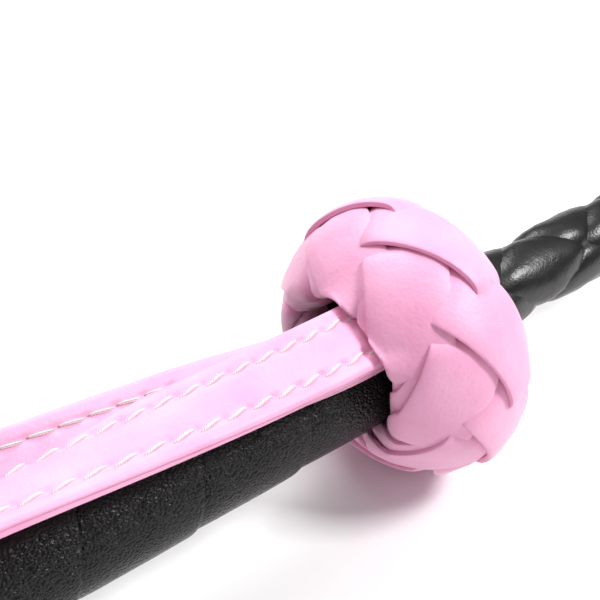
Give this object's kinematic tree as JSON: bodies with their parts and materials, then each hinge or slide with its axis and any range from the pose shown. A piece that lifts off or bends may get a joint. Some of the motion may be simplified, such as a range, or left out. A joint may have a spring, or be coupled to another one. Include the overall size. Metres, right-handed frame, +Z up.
{
  "type": "riding crop",
  "caption": "Riding crop: leather-wound grip between plaited knots, a stitched wrist loop, a plaited tapering shaft and a leather keeper.",
  "frame": {"origin": "centre of the butt end's flat face, on the crop's axis", "axes": "+X along the crop from butt to keeper, +Z up as it lies on its knots with the wrist loop on top, +Y to its left"},
  "size_m": [0.682, 0.0526, 0.0563],
  "materials": {
    "black_leather": "fine pebble grain, semi-gloss",
    "plait_leather": "smooth, glossy",
    "pink_leather": "soft, folded, satin",
    "strap_leather": "smooth, satin",
    "stitch_thread": "cream twisted thread",
    "waxed_thread": "waxed black thread",
    "padding": "raw, hidden",
    "wood": "turned, hidden",
    "fibreglass": "hidden",
    "filler": "hidden",
    "tape": "hidden",
    "steel": "flat nail head, plain tacks",
    "brass": "hidden cap"
  },
  "bodies": {
    "crop": {"core_rod": "fibreglass", "butt_weight": "steel", "handle_core": "wood", "grip_underlay": "tape", "grip_wrap": "black_leather", "wrap_tacks": "steel", "butt_disc": "black_leather", "butt_nail": "steel", "butt_knot_core": "padding", "butt_knot_lace": "pink_leather", "front_knot_core": "padding", "front_knot_lace": "pink_leather", "strap_end_lower": "strap_leather", "strap_end_upper": "strap_leather", "strap_tacks": "steel", "shaft_bolster": "filler", "shaft_plait": "plait_leather", "tip_ferrule": "brass", "tip_whipping": "waxed_thread", "keeper_root_top": "strap_leather", "keeper_root_bottom": "strap_leather"},
    "wrist_loop": {"wrist_strap_outer": "strap_leather", "wrist_strap_lining": "strap_leather", "wrist_strap_stitching": "stitch_thread"},
    "keeper": {"keeper_flap_top": "strap_leather", "keeper_flap_bottom": "strap_leather", "keeper_stitching": "stitch_thread"}
  },
  "joints": [
    {"name": "wrist_loop_swing", "type": "hinge", "parent": "crop", "child": "wrist_loop", "pos_m": [0.184, -0.00522, 0.01291], "axis": [0, 0.9272, 0.3746], "range_deg": [0, 90]},
    {"name": "keeper_flex", "type": "hinge", "parent": "crop", "child": "keeper", "pos_m": [0.608, 0, 0], "axis": [0, 1, 0], "range_deg": [-70, 70], "stiffness_Nm_per_rad": 0.05}
  ]
}
